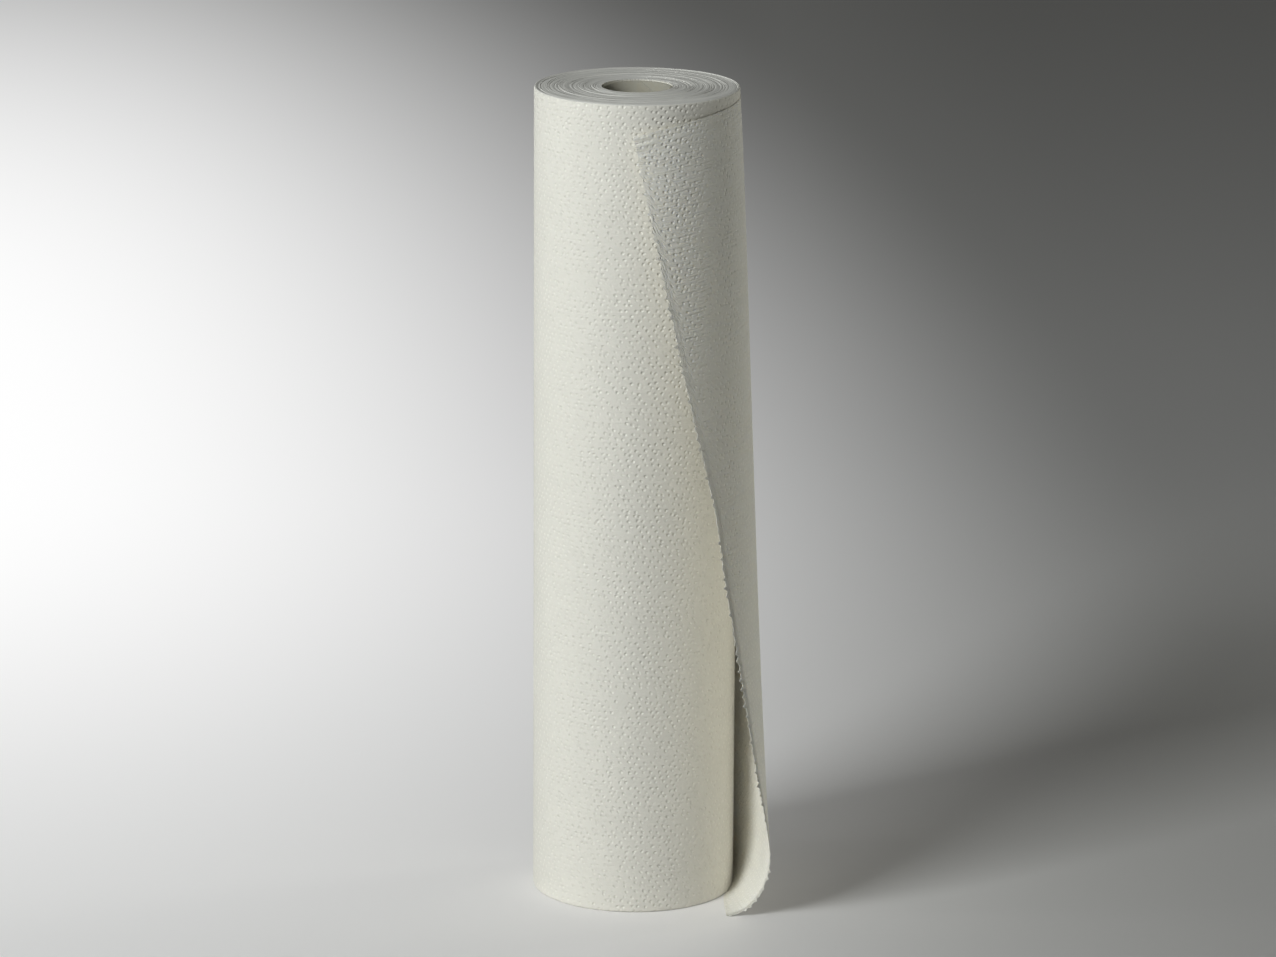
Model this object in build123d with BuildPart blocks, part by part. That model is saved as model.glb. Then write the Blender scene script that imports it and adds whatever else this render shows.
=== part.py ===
from build123d import *
import math
import os

os.makedirs("parts", exist_ok=True)

# Exam table paper roll, standing on its end: a paperboard tube and the paper web wound on it,
# with the last length of the web come loose and flaring away from the roll down to the floor.
# Millimetres, +Z up. The origin is on the roll's axis, at the bottom end.

# Wound roll
WEB_WIDTH = 500.0
ROLL_RADIUS = 61.8
RIM_BEVEL = 0.6

# Core tube
CORE_RADIUS = 21.5
CORE_WALL = 1.5
CORE_RECESS = 1.0

# Turns seen on the two ends, each groove placed as a share of the way from core to rim
TURN_SHARES = (0.26, 0.345, 0.484, 0.62, 0.794, 0.923)
FOOT_TURN_SHARES = (0.26, 0.80)
TURN_GROOVE_WIDTH = 0.8
TURN_GROOVE_DEPTH = 0.6
TURN_STEP = 0.35

# Loose end of the web: its length round the roll, its thickness and how it leaves the roll
LOOSE_LENGTH = 200.4
LOOSE_THICKNESS = 0.4
LOOSE_BITE = 0.3
LOOSE_STANDOFF = 0.4
LOOSE_LIFT_OFF = 6.0
LOOSE_LEAD = 4.0

# Where the loose end stops following the roll, how much nearer the back that is at the top, how
# gradual it is, and the share of the roll's curvature that it loses there, most near the floor
TAKE_OFF = 66.6
TAKE_OFF_RISE = 26.2
TAKE_OFF_SPREAD = 6.0
STRAIGHTEN = 0.769
STRAIGHTEN_POWER = 0.917

# Top edge of the loose end, sagging from the rim
TOP_MARGIN = 1.2
TOP_SLIP = 7.5
TOP_CORNER_SAG = 10.0
TOP_CORNER_POWER = 5

# Torn edge: a shallow dip half way up, and a set-back towards the floor
EDGE_DIP = 3.3
EDGE_DIP_HEIGHT = 262.0
EDGE_DIP_SPREAD = 41.0
EDGE_SETBACK = 34.6
EDGE_SETBACK_HEIGHT = 98.8
EDGE_SETBACK_POWER = 1.15

# Foot of the loose end, curling in on the floor until the roll stops it
CURL_HEIGHT = 48.2
CURL_REACH = 29.6
CURL_CLEARANCE = 1.0
CURL_LIMIT_POWER = 3
FOOT_HEIGHT = 0.1
FOOT_SEAM_LIFT = 1.0
FOOT_SEAM_POWER = 6

# Points along each line of the loose end, strips down it and in its curl, and steps along a plan
LINE_POINTS = 17
STRIPS = 18
CURL_STRIPS = 6
PLAN_STEPS = 40


def torn_edge(height):
    """Length of the loose end round the roll at a height, out to its torn edge."""
    low = max(0.0, 1.0 - height / EDGE_SETBACK_HEIGHT)
    dip = math.exp(-(((height - EDGE_DIP_HEIGHT) / EDGE_DIP_SPREAD) ** 2))
    return LOOSE_LENGTH - EDGE_SETBACK * low**EDGE_SETBACK_POWER - EDGE_DIP * dip


def length_past(length, take_off):
    """Length past the take-off, eased in from nothing over the take-off's spread."""
    return TAKE_OFF_SPREAD * math.log1p(math.exp((length - take_off) / TAKE_OFF_SPREAD))


def heading(length, height):
    """Angle that the loose end has turned through, seen from above: it turns with the roll as
    far as its take-off, and less than the roll from there on."""
    share = max(0.0, 1.0 - height / WEB_WIDTH)
    lost = STRAIGHTEN * share**STRAIGHTEN_POWER
    take_off = TAKE_OFF - TAKE_OFF_RISE * height / WEB_WIDTH
    past = length_past(length, take_off) - length_past(0.0, take_off)
    return (length - lost * past) / ROLL_RADIUS


def plan_point(length, height):
    """Point of the loose end seen from above, and its heading there."""
    x = 0.0
    y = ROLL_RADIUS
    step = length / PLAN_STEPS
    for k in range(PLAN_STEPS):
        turned = heading((k + 0.5) * step, height)
        x += math.cos(turned) * step
        y -= math.sin(turned) * step
    return x, y, heading(length, height)


def curl_reach(along):
    """How far the foot curls in at a share along the loose end, short of the wound roll."""
    x, y, _ = plan_point(along * torn_edge(CURL_HEIGHT), CURL_HEIGHT)
    gap = math.hypot(x, y) - ROLL_RADIUS - CURL_CLEARANCE
    if gap <= 0:
        return 0.0
    limit = (gap**CURL_LIMIT_POWER + CURL_REACH**CURL_LIMIT_POWER) ** (1 / CURL_LIMIT_POWER)
    return gap * CURL_REACH / limit


def sheet_point(along, height, curl):
    """Point of the loose end's inner face. along runs 0 to 1 out to the torn edge, and curl
    is the angle turned through below CURL_HEIGHT, 0 above it and pi / 2 at the floor."""
    if curl > 0:
        height = CURL_HEIGHT * (1 - math.sin(curl))
    length = along * (torn_edge(height) + LOOSE_LEAD) - LOOSE_LEAD
    x, y, turned = plan_point(length, height)
    lift = 1 - math.exp(-length / LOOSE_LIFT_OFF)
    out = (LOOSE_BITE + LOOSE_STANDOFF) * lift - LOOSE_BITE
    out -= curl_reach(along) * (1 - math.cos(curl))
    if curl > 0:
        foot = FOOT_HEIGHT + LOOSE_THICKNESS
        foot += FOOT_SEAM_LIFT * (1 - along) ** FOOT_SEAM_POWER
        height = foot + (CURL_HEIGHT - foot) * (1 - math.sin(curl))
    return Vector(x + math.sin(turned) * out, y + math.cos(turned) * out, height)


def sheet_rows():
    """Rows of points down the loose end's inner face, from its sagging top edge to its foot."""
    shares = [j / (LINE_POINTS - 1) for j in range(LINE_POINTS)]
    tops = [
        WEB_WIDTH - TOP_MARGIN - TOP_SLIP * along - TOP_CORNER_SAG * along**TOP_CORNER_POWER
        for along in shares
    ]
    rows = []
    for i in range(STRIPS + 1):
        down = i / STRIPS
        row = [
            sheet_point(along, top + (CURL_HEIGHT - top) * down, 0.0)
            for along, top in zip(shares, tops)
        ]
        rows.append(row)
    for i in range(1, CURL_STRIPS + 1):
        curl = math.pi / 2 * i / CURL_STRIPS
        rows.append([sheet_point(along, 0.0, curl) for along in shares])
    return rows


def moved_out(rows, distance):
    """The same rows, moved away from the roll by a distance along the sheet's normals."""
    last_row = len(rows) - 1
    last = len(rows[0]) - 1
    moved = []
    for i, row in enumerate(rows):
        line = []
        for j, point in enumerate(row):
            across = row[min(j + 1, last)] - row[max(j - 1, 0)]
            down = rows[min(i + 1, last_row)][j] - rows[max(i - 1, 0)][j]
            line.append(point + across.cross(down).normalized() * distance)
        moved.append(line)
    return moved


def ruled_faces(first_lines, second_lines):
    """Ruled faces, each from a line of the first list to its partner in the second."""
    pairs = zip(first_lines, second_lines)
    return [Face.make_surface_from_curves(first, second) for first, second in pairs]


def edge_lines(rows, column):
    """Straight lines down one side of the sheet, from each row to the next."""
    return [Edge.make_line(a[column], b[column]) for a, b in zip(rows, rows[1:])]


def loose_end():
    """The sheet as a thin solid: ruled strips on both its faces, closed along its four edges."""
    inner_rows = sheet_rows()
    outer_rows = moved_out(inner_rows, LOOSE_THICKNESS)
    inner = [Edge.make_spline(row) for row in inner_rows]
    outer = [Edge.make_spline(row) for row in outer_rows]
    faces = ruled_faces(inner, inner[1:]) + ruled_faces(outer, outer[1:])
    faces += ruled_faces([inner[0], inner[-1]], [outer[0], outer[-1]])
    for column in (0, -1):
        faces += ruled_faces(edge_lines(inner_rows, column), edge_lines(outer_rows, column))
    return Solid(Shell(faces))


def end_line(shares, level, inward):
    """Points across one end of the wound web, core to rim, with a groove at each loosened turn
    and every other band of turns sunk a little. inward is -1 at the top end, +1 at the bottom."""
    points = [(CORE_RADIUS, level + inward * TURN_STEP)]
    sunk = TURN_STEP
    for share in shares:
        radius = CORE_RADIUS + share * (ROLL_RADIUS - CORE_RADIUS)
        points.append((radius - TURN_GROOVE_WIDTH / 2, level + inward * sunk))
        points.append((radius, level + inward * (sunk + TURN_GROOVE_DEPTH)))
        sunk = TURN_STEP - sunk
        points.append((radius + TURN_GROOVE_WIDTH / 2, level + inward * sunk))
    points.append((ROLL_RADIUS - RIM_BEVEL, level + inward * sunk))
    points.append((ROLL_RADIUS, level + inward * (sunk + RIM_BEVEL)))
    return points


with BuildPart() as core_tube:
    with BuildSketch() as tube_ring:
        Circle(CORE_RADIUS)
        Circle(CORE_RADIUS - CORE_WALL, mode=Mode.SUBTRACT)
    extrude(amount=WEB_WIDTH - CORE_RECESS)
core_tube.part.label = "core_tube"

with BuildPart() as paper_web:
    with BuildSketch(Plane.XZ) as wound_section:
        with BuildLine():
            top = end_line(TURN_SHARES, WEB_WIDTH, -1)
            foot = end_line(FOOT_TURN_SHARES, 0.0, 1)
            Polyline(top + foot[::-1], close=True)
        make_face()
    revolve(axis=Axis.Z)
    add(loose_end())
paper_web.part.label = "paper_web"

export_step(core_tube.part, "parts/core_tube.step")
export_step(paper_web.part, "parts/paper_web.step")
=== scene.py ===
import math

import bpy
import numpy as np
from mathutils import Matrix, Vector


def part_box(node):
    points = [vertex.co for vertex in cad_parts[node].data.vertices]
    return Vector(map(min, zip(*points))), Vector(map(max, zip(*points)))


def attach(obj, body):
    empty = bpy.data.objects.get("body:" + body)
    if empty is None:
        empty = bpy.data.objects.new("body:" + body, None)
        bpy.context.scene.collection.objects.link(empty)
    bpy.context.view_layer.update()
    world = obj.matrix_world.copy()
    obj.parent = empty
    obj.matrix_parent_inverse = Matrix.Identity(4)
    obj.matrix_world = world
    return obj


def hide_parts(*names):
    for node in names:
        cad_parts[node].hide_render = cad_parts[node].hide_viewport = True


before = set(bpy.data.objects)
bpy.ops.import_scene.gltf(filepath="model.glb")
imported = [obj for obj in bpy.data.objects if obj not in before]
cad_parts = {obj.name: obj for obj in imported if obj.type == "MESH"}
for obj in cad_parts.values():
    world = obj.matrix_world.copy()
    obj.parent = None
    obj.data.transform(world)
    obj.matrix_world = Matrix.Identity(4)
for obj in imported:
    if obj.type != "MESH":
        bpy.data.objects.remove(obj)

bl_info = {
    "name": "Exam table paper roll",
    "version": (1, 0, 0),
    "blender": (4, 5, 0),
    "location": "3D View > Sidebar > Paper Roll",
    "description": "Embossed paper, torn loose end and paperboard tube for the roll's frame",
    "category": "Add Mesh",
}

MM = 0.001
TURN_PITCH = 0.42 * MM  # of the single turns, in the shape and in the colour of the ends
web_low, web_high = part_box("paper_web")
tube_low, tube_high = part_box("core_tube")


# Sizes and colours


class RollSizes(bpy.types.PropertyGroup):
    """The wound roll."""

    web_width: bpy.props.FloatProperty(
        name="Web width", description="Width of the paper, which is the roll's height",
        default=web_high[2], unit="LENGTH")
    roll_radius: bpy.props.FloatProperty(
        name="Roll radius", description="Radius of the wound roll",
        default=-web_low[0], unit="LENGTH")
    rim_bevel: bpy.props.FloatProperty(
        name="Rim bevel", description="Softening of the roll's two rims",
        default=1.0 * MM, unit="LENGTH")
    turn_step: bpy.props.FloatProperty(
        name="Turn step", description="How far every other band of turns is sunk",
        default=0.12 * MM, unit="LENGTH")
    groove_depth: bpy.props.FloatProperty(
        name="Groove depth", description="Depth of the groove at a loosened turn",
        default=0.3 * MM, unit="LENGTH")
    groove_width: bpy.props.FloatProperty(
        name="Groove width", description="Width of the groove at a loosened turn",
        default=0.6 * MM, unit="LENGTH")
    turn_spread: bpy.props.FloatProperty(
        name="Turn spread", description="How unevenly single turns stand at the ends",
        default=0.45 * MM, unit="LENGTH")
    turn_drift: bpy.props.FloatProperty(
        name="Turn drift", description="How far the turns stray from true circles",
        default=0.35 * MM, unit="LENGTH")


class TubeSizes(bpy.types.PropertyGroup):
    """The paperboard tube."""

    radius: bpy.props.FloatProperty(
        name="Tube radius", description="Outer radius of the tube",
        default=tube_high[0], unit="LENGTH")
    height: bpy.props.FloatProperty(
        name="Tube height", description="Length of the tube",
        default=tube_high[2], unit="LENGTH")
    wall: bpy.props.FloatProperty(
        name="Tube wall", description="Thickness of the paperboard",
        default=1.5 * MM, unit="LENGTH")
    seam_lead: bpy.props.FloatProperty(
        name="Seam lead", description="Height that the spiral seam climbs in one turn",
        default=118 * MM, unit="LENGTH")
    seam_depth: bpy.props.FloatProperty(
        name="Seam depth", description="Depth of the spiral seam",
        default=0.35 * MM, unit="LENGTH")


class LooseEndSizes(bpy.types.PropertyGroup):
    """The loose last length of the web."""

    length: bpy.props.FloatProperty(
        name="Length", description="Length from where it leaves the roll to its torn edge",
        default=200.4 * MM, unit="LENGTH")
    thickness: bpy.props.FloatProperty(
        name="Thickness", description="Thickness of the embossed paper",
        default=0.25 * MM, unit="LENGTH")
    bite: bpy.props.FloatProperty(
        name="Bite", description="How far its start lies under the roll's surface",
        default=0.3 * MM, unit="LENGTH")
    standoff: bpy.props.FloatProperty(
        name="Stand-off", description="How far its inner face stands off the roll",
        default=0.05 * MM, unit="LENGTH")
    lift_off: bpy.props.FloatProperty(
        name="Lift-off", description="Length over which it lifts off the roll",
        default=6 * MM, unit="LENGTH")
    lead: bpy.props.FloatProperty(
        name="Lead", description="Length that starts inside the roll",
        default=4 * MM, unit="LENGTH")
    take_off: bpy.props.FloatProperty(
        name="Take-off", description="Length over which it follows the roll at the floor",
        default=66.6 * MM, unit="LENGTH")
    take_off_rise: bpy.props.FloatProperty(
        name="Take-off rise", description="How much shorter that length is at the top",
        default=26.2 * MM, unit="LENGTH")
    take_off_spread: bpy.props.FloatProperty(
        name="Take-off spread", description="How gradually it stops following the roll",
        default=6 * MM, unit="LENGTH")
    straighten: bpy.props.FloatProperty(
        name="Straighten", description="Share of the roll's curvature lost at the floor",
        default=0.769)
    straighten_power: bpy.props.FloatProperty(
        name="Straighten power", description="How late on the way down it straightens",
        default=0.917)
    top_margin: bpy.props.FloatProperty(
        name="Top margin", description="How far its top edge starts below the rim",
        default=1.2 * MM, unit="LENGTH")
    top_slip: bpy.props.FloatProperty(
        name="Top slip", description="Steady fall of the top edge along its length",
        default=7.5 * MM, unit="LENGTH")
    corner_sag: bpy.props.FloatProperty(
        name="Corner sag", description="Extra fall of the top edge at its corner",
        default=10 * MM, unit="LENGTH")
    edge_dip: bpy.props.FloatProperty(
        name="Edge dip", description="Shallow dip in the torn edge half way up",
        default=3.3 * MM, unit="LENGTH")
    edge_dip_height: bpy.props.FloatProperty(
        name="Edge dip height", description="Height of the dip",
        default=262 * MM, unit="LENGTH")
    edge_dip_spread: bpy.props.FloatProperty(
        name="Edge dip spread", description="Half height of the dip",
        default=41 * MM, unit="LENGTH")
    edge_setback: bpy.props.FloatProperty(
        name="Edge set-back", description="How far the torn edge is set back at the floor",
        default=34.6 * MM, unit="LENGTH")
    edge_setback_height: bpy.props.FloatProperty(
        name="Edge set-back height", description="Height at which the set-back starts",
        default=98.8 * MM, unit="LENGTH")
    curl_height: bpy.props.FloatProperty(
        name="Curl height", description="Height at which the foot starts to curl in",
        default=48.2 * MM, unit="LENGTH")
    curl_reach: bpy.props.FloatProperty(
        name="Curl reach", description="How far the foot curls in towards the roll",
        default=29.6 * MM, unit="LENGTH")
    curl_clearance: bpy.props.FloatProperty(
        name="Curl clearance", description="Gap left between the curled foot and the roll",
        default=1 * MM, unit="LENGTH")
    foot_height: bpy.props.FloatProperty(
        name="Foot height", description="Height of the foot's lower face over the floor",
        default=0.25 * MM, unit="LENGTH")
    seam_lift: bpy.props.FloatProperty(
        name="Seam lift", description="How much higher the foot starts beside the roll",
        default=1 * MM, unit="LENGTH")
    nib_pitch: bpy.props.FloatProperty(
        name="Nib pitch", description="Distance between the nibs left by the perforation",
        default=5.6 * MM, unit="LENGTH")
    nib_length: bpy.props.FloatProperty(
        name="Nib length", description="How far the longest nib stands out of the torn edge",
        default=2.8 * MM, unit="LENGTH")
    fuzz_pitch: bpy.props.FloatProperty(
        name="Fuzz pitch", description="Distance between the fine jags of the torn edge",
        default=1.3 * MM, unit="LENGTH")
    fuzz_length: bpy.props.FloatProperty(
        name="Fuzz length", description="How far the fine jags stand in or out",
        default=0.55 * MM, unit="LENGTH")
    pleat_height: bpy.props.FloatProperty(
        name="Pleat height", description="Height of the pleats at the crumpled corner",
        default=1.0 * MM, unit="LENGTH")


class Finishes(bpy.types.PropertyGroup):
    """Colours and relief of the paper and the paperboard."""

    paper_colour: bpy.props.FloatVectorProperty(
        name="Paper", description="Colour of the paper's face",
        default=(0.89, 0.862, 0.785), subtype="COLOR", min=0, max=1)
    end_colour: bpy.props.FloatVectorProperty(
        name="Paper ends", description="Colour of the roll's ends, where the turns show edge on",
        default=(0.86, 0.84, 0.79), subtype="COLOR", min=0, max=1)
    board_colour: bpy.props.FloatVectorProperty(
        name="Paperboard", description="Colour of the tube",
        default=(0.46, 0.445, 0.38), subtype="COLOR", min=0, max=1)
    dimple_pitch: bpy.props.FloatProperty(
        name="Dimple pitch", description="Distance between embossed dimples along a row",
        default=4.6 * MM, unit="LENGTH")
    row_pitch: bpy.props.FloatProperty(
        name="Row pitch", description="Distance between rows of dimples",
        default=3.15 * MM, unit="LENGTH")
    dimple_radius: bpy.props.FloatProperty(
        name="Dimple radius", description="Radius of one dimple",
        default=1.3 * MM, unit="LENGTH")
    dimple_depth: bpy.props.FloatProperty(
        name="Dimple depth", description="Depth of one dimple",
        default=0.48 * MM, unit="LENGTH")
    crepe_depth: bpy.props.FloatProperty(
        name="Crepe depth", description="Height of the fine ribs along the web",
        default=0.18 * MM, unit="LENGTH")
    fibre_depth: bpy.props.FloatProperty(
        name="Fibre depth", description="Height of the paper's own grain",
        default=0.08 * MM, unit="LENGTH")


class StageLook(bpy.types.PropertyGroup):
    """The floor, the light and the camera."""

    floor_colour: bpy.props.FloatVectorProperty(
        name="Floor", description="Colour of the floor near the roll",
        default=(0.92, 0.90, 0.885), subtype="COLOR", min=0, max=1)
    # Painted shade: the darker colour that the floor fades to, standing in for the light falling
    # off
    painted_shade_colour: bpy.props.FloatVectorProperty(
        name="Far floor", description="Colour that the floor fades to",
        default=(0.41, 0.40, 0.39), subtype="COLOR", min=0, max=1)
    # Painted pool of light: a white glow on the floor at the back left
    glow: bpy.props.FloatProperty(
        name="Glow", description="How white the floor glows at the back left",
        default=1.0, subtype="FACTOR", min=0, max=1)
    key_power: bpy.props.FloatProperty(
        name="Key light", description="Power of the soft light at the front left",
        default=58.5, unit="POWER")
    key_colour: bpy.props.FloatVectorProperty(
        name="Key colour", description="Colour of the key and left lights",
        default=(0.96, 1.0, 1.0), subtype="COLOR", min=0, max=1)
    key_azimuth: bpy.props.FloatProperty(
        name="Key azimuth", description="Turn of the key light left of the camera",
        default=math.radians(43), subtype="ANGLE")
    key_elevation: bpy.props.FloatProperty(
        name="Key elevation", description="Height of the key light over the floor",
        default=math.radians(32), subtype="ANGLE")
    key_distance: bpy.props.FloatProperty(
        name="Key distance", description="Distance of the key light",
        default=3.0, unit="LENGTH")
    key_size: bpy.props.FloatProperty(
        name="Key size", description="Side of the key light's soft box",
        default=1.1, unit="LENGTH")
    sky_colour: bpy.props.FloatVectorProperty(
        name="Fill", description="Colour of the light from all round",
        default=(0.97, 0.985, 0.93), subtype="COLOR", min=0, max=1)
    sky_level: bpy.props.FloatProperty(
        name="Fill level", description="Brightness of the light from all round",
        default=0.05)
    weak_spread: bpy.props.FloatProperty(
        name="Weak spread",
        description="Spread of the two weak lights, kept off the floor beside them",
        default=math.radians(50), subtype="ANGLE")
    weak_elevation: bpy.props.FloatProperty(
        name="Weak elevation", description="Height of the two weak lights over the floor",
        default=math.radians(5), subtype="ANGLE")
    weak_distance: bpy.props.FloatProperty(
        name="Weak distance", description="Distance of the two weak lights",
        default=2.5, unit="LENGTH")
    weak_size: bpy.props.FloatProperty(
        name="Weak size", description="Side of each weak light's soft box",
        default=0.5, unit="LENGTH")
    left_power: bpy.props.FloatProperty(
        name="Left light", description="Power of the weak light at the left",
        default=0.58, unit="POWER")
    left_azimuth: bpy.props.FloatProperty(
        name="Left azimuth", description="Turn of the left light left of the camera",
        default=math.radians(82), subtype="ANGLE")
    side_colour: bpy.props.FloatVectorProperty(
        name="Side colour", description="Colour of the light at the back right",
        default=(0.98, 1.0, 0.93), subtype="COLOR", min=0, max=1)
    side_power: bpy.props.FloatProperty(
        name="Side light", description="Power of the weak light at the back right",
        default=1.3, unit="POWER")
    side_azimuth: bpy.props.FloatProperty(
        name="Side azimuth", description="Turn of the side light right of the camera",
        default=math.radians(112), subtype="ANGLE")
    camera_distance: bpy.props.FloatProperty(
        name="Camera distance", description="Distance from the camera to the roll",
        default=3.6387, unit="LENGTH")
    camera_elevation: bpy.props.FloatProperty(
        name="Camera elevation", description="Angle at which the camera looks down",
        default=math.radians(14.487), subtype="ANGLE")
    camera_roll: bpy.props.FloatProperty(
        name="Camera roll", description="Turn of the camera about its own axis",
        default=math.radians(0.307), subtype="ANGLE")
    camera_lens: bpy.props.FloatProperty(
        name="Camera lens", description="Focal length in millimetres",
        default=168.71)


# Materials


class Value:
    """A number that varies over a surface. Sums, products and so on add Math nodes."""

    def __init__(self, finish, socket):
        self.finish = finish
        self.socket = socket

    def math(self, operation, *others):
        return self.finish.math(operation, self, *others)

    def __add__(self, other):
        return self.math("ADD", other)

    def __radd__(self, other):
        return self.finish.math("ADD", other, self)

    def __sub__(self, other):
        return self.math("SUBTRACT", other)

    def __rsub__(self, other):
        return self.finish.math("SUBTRACT", other, self)

    def __mul__(self, other):
        return self.math("MULTIPLY", other)

    def __truediv__(self, other):
        return self.math("DIVIDE", other)

    def __pow__(self, other):
        return self.math("POWER", other)

    def positive(self):
        return self.math("MAXIMUM", 0.0)

    def between(self, low, high):
        """0 below low, 1 above high, and a smooth rise between them."""
        made = self.finish.node(
            "ShaderNodeMapRange", {"interpolation_type": "SMOOTHSTEP"},
            {"Value": self, "From Min": low, "From Max": high})
        return Value(self.finish, made.outputs["Result"])


class Finish:
    """A material being made: its node tree and its main shader."""

    def __init__(self, name):
        self.material = bpy.data.materials.new(name)
        self.material.use_nodes = True
        self.tree = self.material.node_tree
        self.shader = self.tree.nodes["Principled BSDF"]

    def node(self, kind, settings=None, inputs=None):
        """A node of a kind, with its settings made first and then its sockets set or linked."""
        made = self.tree.nodes.new(kind)
        for name, setting in (settings or {}).items():
            setattr(made, name, setting)
        self.feed(made, inputs or {})
        return made

    def feed(self, made, inputs):
        """Sets or links sockets of a node, each given by its name or its number."""
        for name, given in inputs.items():
            if isinstance(given, Value):
                self.tree.links.new(given.socket, made.inputs[name])
            elif isinstance(given, bpy.types.NodeSocket):
                self.tree.links.new(given, made.inputs[name])
            else:
                made.inputs[name].default_value = given

    def math(self, operation, *given):
        made = self.node("ShaderNodeMath", {"operation": operation}, dict(enumerate(given)))
        return Value(self, made.outputs[0])

    def parts(self, vector):
        """The three numbers of a vector."""
        made = self.node("ShaderNodeSeparateXYZ", None, {"Vector": vector})
        return [Value(self, out) for out in made.outputs]

    def vector(self, x, y, z=0.0):
        return self.node("ShaderNodeCombineXYZ", None, {"X": x, "Y": y, "Z": z}).outputs[0]

    def noise(self, vector, scale=1.0, detail=2.0, rough=0.5):
        """Noise from 0 to 1 over a vector."""
        made = self.node(
            "ShaderNodeTexNoise", {"noise_dimensions": "3D"},
            {"Vector": vector, "Scale": scale, "Detail": detail, "Roughness": rough})
        return Value(self, made.outputs["Fac"])

    def grain(self, along, across, patch, detail):
        """Noise from 0 to 1 over the web, in patches of a length and a height."""
        return self.noise(self.vector(along / patch[0], across / patch[1]), 1.0, detail)

    def mix(self, factor, first, second):
        """A colour between two others."""
        made = self.node(
            "ShaderNodeMix", {"data_type": "RGBA"}, {0: factor, 6: first, 7: second})
        return made.outputs[2]

    def shade(self, colour, factor):
        """A colour made lighter or darker by a factor that varies."""
        grey = self.vector(factor, factor, factor)
        made = self.node("ShaderNodeVectorMath", {"operation": "MULTIPLY"}, {0: colour, 1: grey})
        return made.outputs[0]

    def bump(self, height):
        """A normal bent by a height in metres."""
        made = self.node(
            "ShaderNodeBump", None, {"Strength": 1.0, "Distance": 1.0, "Height": height})
        return made.outputs["Normal"]


def rgba(colour):
    return (*colour, 1.0)


# The columns of dimples sway by a reach over a length down the web, and each dimple is nudged
# off its place by a share of the pitch.
SWAY_LENGTH = 41 * MM
SWAY_REACH = 1.5 * MM
DIMPLE_NUDGE = 0.42
# Patch sizes of the paper's ribs, fibres and clouds, and of the paperboard's flecks, each as
# a length along the web and a height across it
RIB_PATCH = (12 * MM, 1.1 * MM)
FIBRE_PATCH = (1.5 * MM, 1.0 * MM)
CLOUD_PATCH = (14 * MM, 9 * MM)
FLECK_PATCH = (1.5 * MM, 0.5 * MM)
PULP_PATCH = 7 * MM
PULP_TINT = (0.96, 0.93, 0.88)
# Rings on the ends: the pitch of the broad bands, how much the fine lines and the bands wander
# round the axis, and the relief of the lines
BAND_PITCH = 3.4 * MM
LINE_WANDER = 2.2
BAND_WANDER = 0.9
LINE_RELIEF = 0.26 * MM


def embossed_paper(name, looks, side, creped=1.0, seen_through=0.0):
    """Embossed crepe paper. side is 1 on the web's outer face, where the dimples go in, and
    -1 on its inner face, where they stand out. creped makes the ribs taller, and
    seen_through lets light soak through thin paper. The pattern is laid out in the web's own
    coordinates: staggered rows of dimples, each nudged off its place, whose columns sway
    down the web, and fine ribs along it. Dimple = (1 - distance^2 / radius^2)^2."""
    paper = Finish(name)
    web = paper.node("ShaderNodeUVMap", {"uv_map": "Web"}).outputs["UV"]
    along, across, _ = paper.parts(web)
    sway = (across * (2 * math.pi / SWAY_LENGTH)).math("SINE") * SWAY_REACH
    down = across / looks.row_pitch
    step = (along + sway) / looks.dimple_pitch + down * 0.5
    cells = paper.node(
        "ShaderNodeTexVoronoi", {"voronoi_dimensions": "2D", "feature": "F1"},
        {"Vector": paper.vector(step, down), "Scale": 1.0, "Randomness": DIMPLE_NUDGE})
    near_step, near_down, _ = paper.parts(cells.outputs["Position"])
    off_down = down - near_down
    off_step = step - near_step - off_down * 0.5
    reach = (off_step * looks.dimple_pitch) ** 2 + (off_down * looks.row_pitch) ** 2
    dimple = (1 - reach / looks.dimple_radius**2).positive() ** 2
    size = paper.noise(paper.vector(near_step, near_down), 3.1, 0.0)
    dimple = dimple * size.between(0.15, 0.6)

    ribs = paper.grain(along, across, RIB_PATCH, 1.0)
    fibres = paper.grain(along, across, FIBRE_PATCH, 2.0)
    cloud = paper.grain(along, across, CLOUD_PATCH, 3.0)
    relief = dimple * (-side * looks.dimple_depth)
    relief = relief + ribs * (looks.crepe_depth * creped) + fibres * looks.fibre_depth
    # Base colour: random paper clouds and fibres, plus a painted highlight that makes each dimple
    # lighter, standing in for the light its walls catch
    tone = 0.94 + dimple * 0.12 + cloud * 0.05 + fibres * 0.03
    paper.feed(paper.shader, {
        "Base Color": paper.shade(looks.paper_colour, tone),
        "Roughness": 0.9 - ribs * 0.08,
        "Normal": paper.bump(relief),
        "Specular IOR Level": 0.18,
        "Subsurface Weight": seen_through,
        "Subsurface Scale": 0.6 * MM,
        "Subsurface Radius": (1.0, 0.9, 0.7),
    })
    return paper.material


def turned_ends(looks):
    """The ends of the wound web: paper edges in rings about the roll's axis. Noise over the
    radius, drawn out round the axis, makes the fine light and dark lines."""
    ends = Finish("wound_ends")
    place = ends.node("ShaderNodeTexCoord").outputs["Object"]
    x, y, _ = ends.parts(place)
    radius = (x**2 + y**2) ** 0.5
    round_x, round_y = x / radius, y / radius
    lines = ends.noise(
        ends.vector(radius / TURN_PITCH, round_x * LINE_WANDER, round_y * LINE_WANDER), 1.0, 1.5)
    bands = ends.noise(
        ends.vector(radius / BAND_PITCH, round_x * BAND_WANDER, round_y * BAND_WANDER), 1.0, 2.0)
    tone = 0.80 + lines.between(0.25, 0.75) * 0.14 + bands.between(0.3, 0.7) * 0.12
    ends.feed(ends.shader, {
        "Base Color": ends.shade(looks.end_colour, tone),
        "Roughness": 0.95,
        "Normal": ends.bump(lines * LINE_RELIEF),
        "Specular IOR Level": 0.15,
    })
    return ends.material


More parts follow.
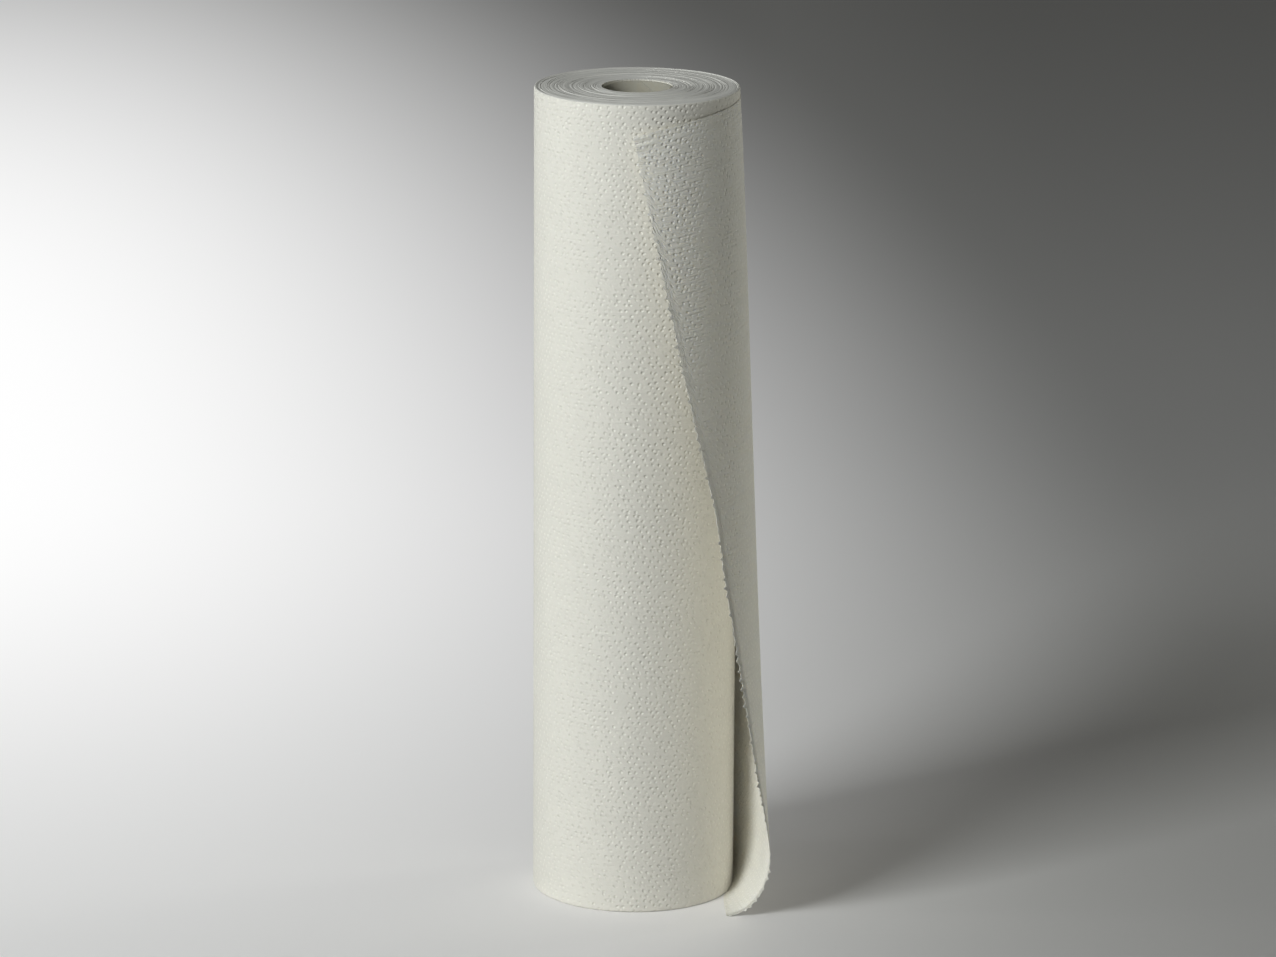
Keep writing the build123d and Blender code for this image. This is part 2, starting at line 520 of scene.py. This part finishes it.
def paperboard(looks):
    """Grey-brown paperboard: mottled pulp with short dark and pale fibres."""
    board = Finish("tube_paperboard")
    web = board.node("ShaderNodeUVMap", {"uv_map": "Web"}).outputs["UV"]
    along, across, _ = board.parts(web)
    place = board.node("ShaderNodeTexCoord").outputs["Object"]
    pulp = board.noise(place, 1 / PULP_PATCH, 4.0, 0.6)
    flecks = board.grain(along, across, FLECK_PATCH, 2.0)
    tone = 0.86 + pulp * 0.16 + flecks.between(0.55, 0.8) * 0.10
    warm = board.mix(
        pulp.between(0.35, 0.65), rgba(looks.board_colour),
        rgba([c * k for c, k in zip(looks.board_colour, PULP_TINT)]))
    board.feed(board.shader, {
        "Base Color": board.shade(warm, tone),
        "Roughness": 0.85 + flecks * 0.1,
        "Normal": board.bump(pulp * (0.08 * MM) + flecks * (0.03 * MM)),
        "Specular IOR Level": 0.25,
    })
    return board.material


# Meshes


def grid_faces(rows, columns, closed=False):
    """Quads over a grid of points, as corner rows and corner columns. They count on past the
    end in a grid that is closed on itself both ways."""
    open_end = 0 if closed else 1
    i, j = np.meshgrid(
        np.arange(rows - open_end), np.arange(columns - open_end), indexing="ij")
    i, j = i.ravel(), j.ravel()
    return np.stack([i, i + 1, i + 1, i], 1), np.stack([j, j, j + 1, j + 1], 1)


def make_piece(name, points, faces, webs, materials, numbers, sharp):
    """A mesh object from points, quads, the web coordinates of each quad's corners, and each
    quad's material number. Edges sharper than an angle are kept crisp."""
    mesh = bpy.data.meshes.new(name)
    mesh.from_pydata(points.reshape(-1, 3).tolist(), [], faces.tolist())
    layer = mesh.uv_layers.new(name="Web")
    layer.data.foreach_set("uv", webs.reshape(-1).astype(np.float32))
    for material in materials:
        mesh.materials.append(material)
    mesh.polygons.foreach_set("material_index", numbers.astype(np.int32))
    mesh.polygons.foreach_set("use_smooth", np.ones(len(faces), dtype=bool))
    mesh.set_sharp_from_angle(angle=math.radians(sharp))
    mesh.validate()
    mesh.update()
    piece = bpy.data.objects.new(name, mesh)
    bpy.context.scene.collection.objects.link(piece)
    return piece


def smooth_rise(values):
    """0 below 0, 1 above 1, and 3t^2 - 2t^3 between."""
    t = np.clip(values, 0.0, 1.0)
    return t * t * (3 - 2 * t)


# Wound roll

# Loosened turns on each end, as shares of the way from core to rim
TOP_TURNS = (0.26, 0.345, 0.484, 0.62, 0.794, 0.923)
FOOT_TURNS = (0.26, 0.80)
# Points across a groove and half the width of its floor, in half groove widths, and how far
# single turns keep from a groove, likewise, and from the rim, in rim bevels
GROOVE_POINTS = (-1.0, -0.25, 0.25, 1.0)
GROOVE_FLOOR = 0.5
GROOVE_MARGIN = 1.3
RIM_MARGIN = 1.1
# Seeds of the single turns, their pitch on the bottom end, and the share of the way from core
# to rim over which their straying dies out
TOP_SEED = 11
FOOT_SEED = 12
FOOT_PITCH = 0.9 * MM
STRAY_FADE = 0.12
# Points round a rim, as distances in from the wall and from the end, and the distance from
# the end at which the wall's rows start, all in rim bevels
RIM_POINTS = ((1.0, 0.0), (0.62, 0.10), (0.25, 0.35), (0.0, 1.0), (0.0, 2.0))
WALL_MARGIN = 3.5
WALL_ROWS = 44
SIDES = 288


def end_rings(sizes, core_radius, shares, spacing, seed):
    """Radii across one end and how far each lies below the end's level. The turns stand in
    bands, every other one sunk, with a groove at each loosened turn and a small seeded
    difference from turn to turn."""
    span = sizes.roll_radius - core_radius
    grooves = core_radius + np.array(shares) * span
    even = np.arange(core_radius, sizes.roll_radius - RIM_MARGIN * sizes.rim_bevel, spacing)
    half = sizes.groove_width / 2
    clear = np.abs(even[:, None] - grooves[None, :]).min(axis=1) > half * GROOVE_MARGIN
    near = (grooves[:, None] + half * np.array(GROOVE_POINTS)[None, :]).ravel()
    radii = np.sort(np.concatenate([even[clear], near]))
    band = (radii[:, None] > grooves[None, :]).sum(axis=1)
    depth = np.where(band % 2 == 0, sizes.turn_step, 0.0)
    inside = np.abs(radii[:, None] - grooves[None, :]).min(axis=1)
    groove = inside < half * GROOVE_FLOOR
    depth = np.where(groove, sizes.turn_step / 2 + sizes.groove_depth, depth)
    chance = np.random.default_rng(seed)
    depth = depth + np.where(groove, 0.0, 1.0) * chance.uniform(0, sizes.turn_spread, len(radii))
    return radii, depth, chance.uniform(0, 2 * math.pi, len(radii))


def wound_surface(sizes, core_radius):
    """The wound roll as a closed ring: a profile of radius and height carried round the axis.
    Across the ends, with s for the share of the way from core to rim, the radius strays by
    drift * (sin(turn + 5 s) + sin(2 turn + 11 s + 1) / 2), dying out at core and rim, and the
    depth of each ring is multiplied by 0.72 + 0.28 sin(turn + phase)."""
    top_radii, top_depth, top_phase = end_rings(
        sizes, core_radius, TOP_TURNS, TURN_PITCH, TOP_SEED)
    foot_radii, foot_depth, foot_phase = end_rings(
        sizes, core_radius, FOOT_TURNS, FOOT_PITCH, FOOT_SEED)
    bevel = sizes.rim_bevel
    wall_heights = np.linspace(
        WALL_MARGIN * bevel, sizes.web_width - WALL_MARGIN * bevel, WALL_ROWS)
    turn = np.arange(SIDES) * (2 * math.pi / SIDES)

    def end_points(radii, depth, phase, level, inward):
        share = (radii - core_radius) / (sizes.roll_radius - core_radius)
        held = np.clip(np.minimum(share, 1 - share) / STRAY_FADE, 0, 1)[:, None]
        slow = np.sin(turn[None, :] + 5.0 * share[:, None])
        slow = slow + 0.5 * np.sin(2 * turn[None, :] + 11.0 * share[:, None] + 1.0)
        radius = radii[:, None] + sizes.turn_drift * held * slow
        swell = 0.72 + 0.28 * np.sin(turn[None, :] + phase[:, None])
        height = level + inward * depth[:, None] * swell
        return radius, height

    top_r, top_z = end_points(top_radii, top_depth, top_phase, sizes.web_width, -1)
    foot_r, foot_z = end_points(foot_radii, foot_depth, foot_phase, 0.0, 1)
    ones = np.ones((1, SIDES))
    rim = np.array(RIM_POINTS) * bevel
    foot_rim_r = (sizes.roll_radius - rim[:, :1]) * ones
    foot_rim_z = rim[:, 1:] * ones
    wall_r = sizes.roll_radius * np.ones((len(wall_heights), SIDES))
    wall_z = wall_heights[:, None] * ones
    radius = np.concatenate([foot_r, foot_rim_r, wall_r, foot_rim_r[::-1], top_r[::-1]])
    height = np.concatenate([
        foot_z, foot_rim_z, wall_z, sizes.web_width - foot_rim_z[::-1], top_z[::-1]])
    points = np.stack([
        radius * np.sin(turn)[None, :], radius * np.cos(turn)[None, :], height], axis=-1)
    end_rows = len(foot_radii)
    wall_rows = (end_rows + 2, len(radius) - len(top_radii) - 3)
    return points, wall_rows


def add_wound_paper(sizes, tube, materials):
    """The wound roll as one piece, with the web's coordinates: length round the roll, height."""
    points, (wall_start, wall_end) = wound_surface(sizes, tube.radius)
    rows, columns, _ = points.shape
    corner_rows, corner_columns = grid_faces(rows, columns, closed=True)
    faces = (corner_rows % rows) * columns + corner_columns % columns
    round_length = corner_columns * (2 * math.pi * sizes.roll_radius / columns)
    heights = points[corner_rows % rows, corner_columns % columns, 2]
    webs = np.stack([round_length, heights], axis=-1)
    first = corner_rows[:, 0]
    on_wall = (first >= wall_start) & (first < wall_end)
    on_bore = first == rows - 1
    numbers = np.where(on_wall | on_bore, 0, 1)
    return make_piece("wound_paper", points, faces, webs, materials, numbers, sharp=50)


# Loose end

EDGE_SETBACK_POWER = 1.15
CORNER_ROUNDING = 0.06
CORNER_SAG_POWER = 5
CURL_LIMIT_POWER = 3
SEAM_LIFT_POWER = 6
PLAN_STEPS = 40
# Rows down the flat part and round the curl, columns out to the edge's share and beyond it
FLAT_ROWS = 780
CURL_ROWS = 99
BODY_COLUMNS = 30
EDGE_COLUMNS = 16
EDGE_SHARE = 0.86
# The torn edge: its seed, its greatest length, how many ties it can have, how far each is
# nudged and half how wide a nib is, both in nib pitches, and the share of the sheet it moves
EDGE_SEED = 5
EDGE_LENGTH = 0.62
TIES = 200
NIB_NUDGE = 0.22
NIB_HALF_WIDTH = 0.27
TORN_SHARE = 0.03
# How far the jags bend out of the sheet at the foot and above it, as shares of their length,
# and the heights between which that changes
FOOT_BEND = 0.35
HIGH_BEND = -0.4
BEND_START = 30 * MM
BEND_HEIGHT = 60 * MM
# The top edge hugs the roll: how fast that dies out down the sheet, and the share of the
# sheet's length where it ends and over which it fades
HUG_DEPTH = 12 * MM
HUG_END = 0.8
HUG_FADE = 0.4
# Each pleat: how far below the top edge it starts, how far in from the torn edge it reaches,
# and its share of the full height
PLEATS = ((0.6 * MM, 19 * MM, 1.0), (5 * MM, 17 * MM, 0.9), (11.5 * MM, 9 * MM, 0.4))
PLEAT_WIDTH = 3.4 * MM
PLEAT_RISE = 0.3
PLEAT_FADE = 1.4


def torn_edge(end, height):
    """Length of the loose end at a height: its full length, less a bell-shaped dip and a
    set-back that grows towards the floor."""
    fallen = 1 - height / end.edge_setback_height
    low = (fallen + np.sqrt(fallen**2 + CORNER_ROUNDING**2)) / 2
    dip = np.exp(-(((height - end.edge_dip_height) / end.edge_dip_spread) ** 2))
    return end.length - end.edge_setback * low**EDGE_SETBACK_POWER - end.edge_dip * dip


def plan_point(sizes, end, length, height):
    """Place and heading of the loose end seen from above. The heading turns as
    (length - lost * past) / R, where past is the length past the take-off, eased in as
    spread * log(1 + exp(past / spread)), and the place is that heading summed up."""
    share = np.maximum(0.0, 1 - height / sizes.web_width)
    lost = end.straighten * share**end.straighten_power
    take_off = end.take_off - end.take_off_rise * height / sizes.web_width
    spread = end.take_off_spread

    def heading(distance, lost, take_off):
        past = spread * np.logaddexp(0.0, (distance - take_off) / spread)
        past = past - spread * np.logaddexp(0.0, -take_off / spread)
        return (distance - lost * past) / sizes.roll_radius

    step = length / PLAN_STEPS
    middles = (np.arange(PLAN_STEPS) + 0.5) * step[..., None]
    turned = heading(middles, lost[..., None], take_off[..., None])
    x = np.cos(turned).sum(axis=-1) * step
    y = sizes.roll_radius - np.sin(turned).sum(axis=-1) * step
    return x, y, heading(length, lost, take_off)


def curl_reach(sizes, end, along):
    """How far the foot curls in at a share along the loose end, short of the wound roll:
    gap * reach / (gap^3 + reach^3)^(1/3)."""
    level = np.full_like(along, end.curl_height)
    x, y, _ = plan_point(sizes, end, along * torn_edge(end, level), level)
    gap = np.maximum(np.hypot(x, y) - sizes.roll_radius - end.curl_clearance, 1e-9)
    power = CURL_LIMIT_POWER
    return gap * end.curl_reach / (gap**power + end.curl_reach**power) ** (1 / power)


def ragged(end, fallen):
    """What tearing leaves on the edge, over the length down the web: fuzz between seeded
    points, and at each tie of the perforation a pointed nib of its own length."""
    chance = np.random.default_rng(EDGE_SEED)
    fuzz_points = np.arange(0.0, EDGE_LENGTH, end.fuzz_pitch)
    fuzz = np.interp(fallen, fuzz_points, chance.uniform(-1.0, 1.0, len(fuzz_points)))
    tie = np.round(fallen / end.nib_pitch).astype(int)
    nudged = chance.uniform(-NIB_NUDGE, NIB_NUDGE, TIES)[tie]
    size = chance.uniform(0.1, 1.0, TIES)[tie]
    off = np.abs(fallen / end.nib_pitch - tie - nudged)
    nib = np.maximum(0.0, 1 - off / NIB_HALF_WIDTH) * size
    return end.fuzz_length * fuzz + end.nib_length * nib


def pleats(end, from_edge, from_top):
    """The crumpled top corner: pleats that start at the torn edge and run along the top edge.
    Each rises quickly to its upper line, falls back evenly over its width, and dies out along
    the web."""
    made = np.zeros_like(from_edge)
    for start, reach, share in PLEATS:
        off = (from_top - start) / PLEAT_WIDTH
        shape = smooth_rise((off + PLEAT_RISE) / PLEAT_RISE) * np.clip(1 - off, 0.0, 1.0)
        fade = smooth_rise(PLEAT_FADE - PLEAT_FADE * from_edge / reach)
        made = made + share * shape * fade
    return made * end.pleat_height


def loose_surface(sizes, end):
    """The loose end's inner and outer faces as two grids of points, and the web's own
    coordinates at each point. Rows run down from the sagging top edge to the floor, the last
    of them round the curl, and columns run out from the roll to the torn edge. The top edge
    falls by slip * s + sag * s^5 over the share s of the length, and the curl drops as
    sin(angle) and comes in as 1 - cos(angle). Where the curled foot meets the wound roll, it
    is pushed out to rest against it."""
    body = np.linspace(0.0, EDGE_SHARE, BODY_COLUMNS, endpoint=False)
    along = np.concatenate([body, np.linspace(EDGE_SHARE, 1.0, EDGE_COLUMNS)])[None, :]
    tops = sizes.web_width - end.top_margin - end.top_slip * along
    tops = tops - end.corner_sag * along**CORNER_SAG_POWER
    down = np.linspace(0.0, 1.0, FLAT_ROWS)[:, None]
    angle = np.linspace(0.0, math.pi / 2, CURL_ROWS + 1)[1:, None]

    flat_height = tops + (end.curl_height - tops) * down
    foot = end.foot_height + end.thickness + end.seam_lift * (1 - along) ** SEAM_LIFT_POWER
    curl_level = end.curl_height * (1 - np.sin(angle)) * np.ones_like(along)
    curl_height = foot + (end.curl_height - foot) * (1 - np.sin(angle))
    height = np.concatenate([flat_height, curl_height])
    level = np.concatenate([flat_height, curl_level])
    curled = np.concatenate([np.zeros_like(flat_height), 1 - np.cos(angle) * np.ones_like(along)])

    round_curl = 0.5 * (end.curl_height + end.curl_reach) * angle * np.ones_like(along)
    fallen = np.concatenate([
        sizes.web_width - flat_height, sizes.web_width - end.curl_height + round_curl])
    jags = ragged(end, fallen) * smooth_rise((along - (1 - TORN_SHARE)) / TORN_SHARE)
    edge = torn_edge(end, level) + jags
    length = along * (edge + end.lead) - end.lead
    x, y, turned = plan_point(sizes, end, length, level)
    least = (end.bite + end.standoff) * (1 - np.exp(-length / end.lift_off)) - end.bite
    gap = np.hypot(x, y) - sizes.roll_radius
    held = np.exp((height - tops) / HUG_DEPTH) * smooth_rise((HUG_END - along) / HUG_FADE)
    out = least - gap * held
    out = out - curl_reach(sizes, end, along) * curled
    out = out + pleats(end, edge - length, tops - height)
    risen = smooth_rise((level - BEND_START) / BEND_HEIGHT)
    bend = FOOT_BEND + (HIGH_BEND - FOOT_BEND) * risen
    out = out + jags * bend * (1 - level / sizes.web_width)
    x, y = x + np.sin(turned) * out, y + np.cos(turned) * out
    pushed = np.maximum((sizes.roll_radius + least) / np.hypot(x, y), 1.0)
    inner = np.stack([x * pushed, y * pushed, height], axis=-1)

    across = np.gradient(inner, axis=1)
    fall = np.gradient(inner, axis=0)
    normal = np.cross(across, fall)
    normal = normal / np.linalg.norm(normal, axis=-1, keepdims=True)
    outer = inner + normal * end.thickness

    steps = np.linalg.norm(np.diff(inner, axis=0), axis=-1)
    fallen = np.concatenate([np.zeros((1, inner.shape[1])), np.cumsum(steps, axis=0)])
    webs = np.stack([length, sizes.web_width - fallen], axis=-1)
    return inner, outer, webs


def add_loose_end(sizes, end, materials):
    """The loose end as one closed piece: two faces joined round their four edges."""
    inner, outer, web = loose_surface(sizes, end)
    rows, columns, _ = inner.shape
    count = rows * columns
    points = np.concatenate([inner.reshape(-1, 3), outer.reshape(-1, 3)])
    flat_web = web.reshape(-1, 2)
    corner_rows, corner_columns = grid_faces(rows, columns)
    inside = corner_rows * columns + corner_columns
    outside = inside[:, ::-1] + count
    index = np.arange(count).reshape(rows, columns)
    rims = []
    for line, turned in ((index[0], 0), (index[-1], 1), (index[:, 0], 1), (index[:, -1], 0)):
        strip = np.stack([line[:-1], line[1:], line[1:] + count, line[:-1] + count], 1)
        rims.append(strip[:, ::-1] if turned else strip)
    faces = np.concatenate([inside, outside, *rims])
    numbers = np.zeros(len(faces), dtype=int)
    numbers[:len(inside)] = 1
    webs = flat_web[faces % count]
    return make_piece("loose_end", points, faces, webs, materials, numbers, sharp=60)


# Core tube

# Columns at the spiral seam, in radians, and how deep it is at each; the plain columns start
# past it
SEAM_TURNS = (-0.030, -0.012, 0.0, 0.012, 0.030)
SEAM_SHAPE = (0.0, 0.8, 1.0, 0.8, 0.0)
BOARD_START = 0.075
BOARD_COLUMNS = 90
BOARD_ROWS = 64


def add_core_tube(tube, materials):
    """The tube as a closed ring whose columns climb with the spiral seam, so that the seam is
    one sunk column: turn = column + height / lead, radius = wall - depth * seam."""
    columns = np.concatenate([
        SEAM_TURNS, np.linspace(BOARD_START, 2 * math.pi - BOARD_START, BOARD_COLUMNS)])
    seam = np.concatenate([SEAM_SHAPE, np.zeros(BOARD_COLUMNS)])
    soft = 0.25 * MM
    inner_radius = tube.radius - tube.wall
    heights = np.linspace(soft, tube.height - soft, BOARD_ROWS)
    profile = [(inner_radius, z, 1.0) for z in heights]
    profile += [(inner_radius + soft, tube.height, 0.4), (tube.radius - soft, tube.height, 0.4)]
    profile += [(tube.radius, z, 1.0) for z in heights[::-1]]
    profile += [(tube.radius - soft, 0.0, 0.4), (inner_radius + soft, 0.0, 0.4)]
    radius, height, share = (np.array(part)[:, None] for part in zip(*profile))
    middle = (tube.radius + inner_radius) / 2
    depth = tube.seam_depth * share * seam[None, :] * np.sign(radius - middle)
    turn = columns[None, :] + height * (2 * math.pi / tube.seam_lead)
    reach = radius - depth
    points = np.stack([
        reach * np.cos(turn), reach * np.sin(turn), height + 0 * turn], axis=-1)
    rows, count, _ = points.shape
    corner_rows, corner_columns = grid_faces(rows, count, closed=True)
    faces = ((corner_rows % rows) * count + corner_columns % count)[:, ::-1]
    lengths = np.append(columns, columns[0] + 2 * math.pi) * tube.radius
    webs = np.stack([
        lengths[corner_columns], height[corner_rows % rows, 0]], axis=-1)[:, ::-1]
    numbers = np.zeros(len(faces), dtype=int)
    return make_piece("core_tube_board", points, faces, webs, materials, numbers, sharp=50)


# Operators


class PAPERROLL_OT_wound_paper(bpy.types.Operator):
    """Adds the wound roll, with its embossed face and its turned ends"""

    bl_idname = "paper_roll.wound_paper"
    bl_label = "Wound Paper"

    def execute(self, context):
        scene = context.scene
        looks = scene.paper_finishes
        materials = [embossed_paper("wound_paper_face", looks, 1), turned_ends(looks)]
        piece = add_wound_paper(scene.roll_sizes, scene.tube_sizes, materials)
        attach(piece, "root")
        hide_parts("paper_web")
        return {"FINISHED"}


class PAPERROLL_OT_loose_end(bpy.types.Operator):
    """Adds the loose end of the web, torn at a perforation"""

    bl_idname = "paper_roll.loose_end"
    bl_label = "Loose End"

    def execute(self, context):
        scene = context.scene
        looks = scene.paper_finishes
        materials = [
            embossed_paper("loose_end_outer_face", looks, 1, creped=2.6, seen_through=0.2),
            embossed_paper("loose_end_inner_face", looks, -1, creped=1.2, seen_through=0.2)]
        piece = add_loose_end(scene.roll_sizes, scene.loose_end_sizes, materials)
        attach(piece, "root")
        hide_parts("paper_web")
        return {"FINISHED"}


class PAPERROLL_OT_core_tube(bpy.types.Operator):
    """Adds the paperboard tube with its spiral seam"""

    bl_idname = "paper_roll.core_tube"
    bl_label = "Core Tube"

    def execute(self, context):
        scene = context.scene
        piece = add_core_tube(scene.tube_sizes, [paperboard(scene.paper_finishes)])
        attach(piece, "root")
        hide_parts("core_tube")
        return {"FINISHED"}


class PAPERROLL_OT_stage(bpy.types.Operator):
    """Adds the floor, the soft light and the camera"""

    bl_idname = "paper_roll.stage"
    bl_label = "Stage"

    def execute(self, context):
        look = context.scene.stage_look
        add_floor(look)
        add_lights(look)
        add_camera(context.scene, look)
        context.scene.view_settings.view_transform = "Standard"
        return {"FINISHED"}


# Stage

# Painted shade on the floor, standing in for the light falling off: where the floor's colour
# darkens, between two distances and by a share of the way to the far colour: to the right of
# the roll's axis and in front of it, and less again behind it
PAINTED_SHADE_RIGHT = (-0.1, 0.45)
PAINTED_SHADE_RIGHT_SHARE = 0.70
PAINTED_SHADE_FRONT = (0.2, 0.7)
PAINTED_SHADE_FRONT_SHARE = 0.8
PAINTED_SHADE_BEHIND = (0.3, 1.6)
PAINTED_SHADE_BEHIND_SHARE = 0.32
# The glow, a painted pool of light: an oval on the floor, by its middle, how far that shifts
# left for each metre further back, its half width, its reach in front and behind, and how soft it
# is
GLOW_X = -0.65
GLOW_Y = 1.0
GLOW_SHIFT = 0.07
GLOW_HALF_WIDTH = 1.08
GLOW_FRONT = 1.75
GLOW_BEHIND = 3.9
GLOW_SOFTNESS = 0.88
ROLL_MIDDLE = (0.0, 0.0, 250 * MM)
CAMERA_TARGET = (1.74 * MM, 0.0, 257.19 * MM)


def studio_floor(look):
    """Matt pale floor. Its colour darkens to the roll's right and well in front of it, and less
    again behind it: painted shade for the light falling off away from the lamps. At the back
    left a painted pool of light glows for the camera and for reflections, without casting
    diffuse light. Glow = smooth rise of 1 - sqrt(off_x^2 + off_y^2)."""
    floor = Finish("studio_floor")
    x, y, _ = floor.parts(floor.node("ShaderNodeTexCoord").outputs["Object"])
    # Painted shade: the floor's colour darkens towards the far colour where the light falls off
    painted_shade = x.between(*PAINTED_SHADE_RIGHT) * PAINTED_SHADE_RIGHT_SHARE - y.between(*PAINTED_SHADE_BEHIND) * PAINTED_SHADE_BEHIND_SHARE
    painted_shade = (painted_shade + (0.0 - y).between(*PAINTED_SHADE_FRONT) * PAINTED_SHADE_FRONT_SHARE).math("MINIMUM", 1.0)
    floor.feed(floor.shader, {
        "Base Color": floor.mix(painted_shade, rgba(look.floor_colour), rgba(look.painted_shade_colour)),
        "Roughness": 0.9,
        "Specular IOR Level": 0.1,
    })
    # Painted pool of light: white emission for camera and reflection rays only, casting no
    # diffuse light
    off_x = (x - GLOW_X + (y - GLOW_Y) * GLOW_SHIFT) / GLOW_HALF_WIDTH
    off_y = ((y - GLOW_Y) / GLOW_BEHIND).math("MAXIMUM", (GLOW_Y - y) / GLOW_FRONT)
    glow = (1 - (off_x**2 + off_y**2) ** 0.5).between(0.0, GLOW_SOFTNESS) * look.glow
    ray = floor.node("ShaderNodeLightPath").outputs
    seen = Value(floor, ray["Is Camera Ray"])
    for kind in ("Is Glossy Ray", "Is Transmission Ray"):
        seen = seen.math("MAXIMUM", Value(floor, ray[kind]))
    white = floor.node("ShaderNodeEmission", None, {"Color": (1.0, 1.0, 1.0, 1.0)})
    surface = floor.node("ShaderNodeMixShader", None, {
        0: glow * seen, 1: floor.shader.outputs[0], 2: white.outputs[0]})
    floor.feed(floor.tree.nodes["Material Output"], {"Surface": surface.outputs[0]})
    return floor.material


def add_floor(look):
    """A flat pale floor."""
    mesh = bpy.data.meshes.new("floor")
    reach, level = 9.0, -0.1 * MM
    corners = [(-reach, -reach, level), (reach, -reach, level), (reach, reach, level),
               (-reach, reach, level)]
    mesh.from_pydata(corners, [], [(0, 1, 2, 3)])
    floor = bpy.data.objects.new("floor", mesh)
    bpy.context.scene.collection.objects.link(floor)
    mesh.materials.append(studio_floor(look))


def aim(obj, place, target, roll=0.0):
    """Puts a lamp or the camera at a place, looking at a target."""
    facing = (Vector(target) - Vector(place)).to_track_quat("-Z", "Y").to_matrix().to_4x4()
    obj.matrix_world = Matrix.Translation(place) @ facing @ Matrix.Rotation(roll, 4, "Z")


def add_soft_box(
        name, power, colour, size, azimuth, elevation, distance, spread=math.pi):
    """A square soft light that looks at the middle of the roll. azimuth is counted from the
    camera's side, towards the right. The camera doesn't see the lamp itself. A spread below
    pi keeps the light near the lamp's own axis."""
    lamp = bpy.data.lights.new(name, "AREA")
    lamp.shape = "SQUARE"
    lamp.size = size
    lamp.energy = power
    lamp.color = colour
    lamp.spread = spread
    box = bpy.data.objects.new(name, lamp)
    box.visible_camera = False
    bpy.context.scene.collection.objects.link(box)
    middle = Vector(ROLL_MIDDLE)
    level = math.cos(elevation) * distance
    place = middle + Vector((
        math.sin(azimuth) * level, -math.cos(azimuth) * level, math.sin(elevation) * distance))
    aim(box, place, middle)


def add_lights(look):
    """One large soft light at the front left, weak ones at the left and at the back right, and
    an even light from all round."""
    add_soft_box("key_light", look.key_power, look.key_colour, look.key_size,
                 -look.key_azimuth, look.key_elevation, look.key_distance)
    weak = (look.weak_elevation, look.weak_distance, look.weak_spread)
    add_soft_box("left_light", look.left_power, look.key_colour, look.weak_size,
                 -look.left_azimuth, *weak)
    add_soft_box("side_light", look.side_power, look.side_colour, look.weak_size,
                 look.side_azimuth, *weak)
    world = bpy.data.worlds.new("studio")
    bpy.context.scene.world = world
    world.use_nodes = True
    background = world.node_tree.nodes["Background"]
    background.inputs["Color"].default_value = rgba(look.sky_colour)
    background.inputs["Strength"].default_value = look.sky_level


def add_camera(scene, look):
    """The camera of the photograph."""
    lens = bpy.data.cameras.new("camera")
    lens.lens = look.camera_lens
    lens.sensor_width = 36.0
    lens.clip_end = 60.0
    camera = bpy.data.objects.new("camera", lens)
    scene.collection.objects.link(camera)
    target = Vector(CAMERA_TARGET)
    tilt = look.camera_elevation
    place = target + Vector((0, -math.cos(tilt), math.sin(tilt))) * look.camera_distance
    aim(camera, place, target, look.camera_roll)
    scene.camera = camera


# Panel and registration


class PAPERROLL_PT_sidebar(bpy.types.Panel):
    """Lists the pieces and their sizes"""

    bl_idname = "PAPERROLL_PT_sidebar"
    bl_label = "Paper Roll"
    bl_space_type = "VIEW_3D"
    bl_region_type = "UI"
    bl_category = "Paper Roll"

    def draw(self, context):
        for operator, groups in PIECES:
            box = self.layout.box()
            box.operator(operator.bl_idname)
            for group in groups:
                settings = getattr(context.scene, group)
                for name in settings.bl_rna.properties.keys():
                    if name not in ("rna_type", "name"):
                        box.prop(settings, name)


GROUPS = {
    "roll_sizes": RollSizes,
    "loose_end_sizes": LooseEndSizes,
    "tube_sizes": TubeSizes,
    "paper_finishes": Finishes,
    "stage_look": StageLook,
}
PIECES = (
    (PAPERROLL_OT_wound_paper, ("roll_sizes", "paper_finishes")),
    (PAPERROLL_OT_loose_end, ("loose_end_sizes",)),
    (PAPERROLL_OT_core_tube, ("tube_sizes",)),
    (PAPERROLL_OT_stage, ("stage_look",)),
)


def register():
    for group, made in GROUPS.items():
        bpy.utils.register_class(made)
        setattr(bpy.types.Scene, group, bpy.props.PointerProperty(type=made))
    for operator, _ in PIECES:
        bpy.utils.register_class(operator)
    bpy.utils.register_class(PAPERROLL_PT_sidebar)


def unregister():
    bpy.utils.unregister_class(PAPERROLL_PT_sidebar)
    for operator, _ in reversed(PIECES):
        bpy.utils.unregister_class(operator)
    for group, made in reversed(GROUPS.items()):
        delattr(bpy.types.Scene, group)
        bpy.utils.unregister_class(made)


def main():
    register()
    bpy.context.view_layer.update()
    bpy.ops.paper_roll.wound_paper()
    bpy.ops.paper_roll.loose_end()
    bpy.ops.paper_roll.core_tube()
    bpy.ops.paper_roll.stage()


if __name__ == "__main__":
    main()
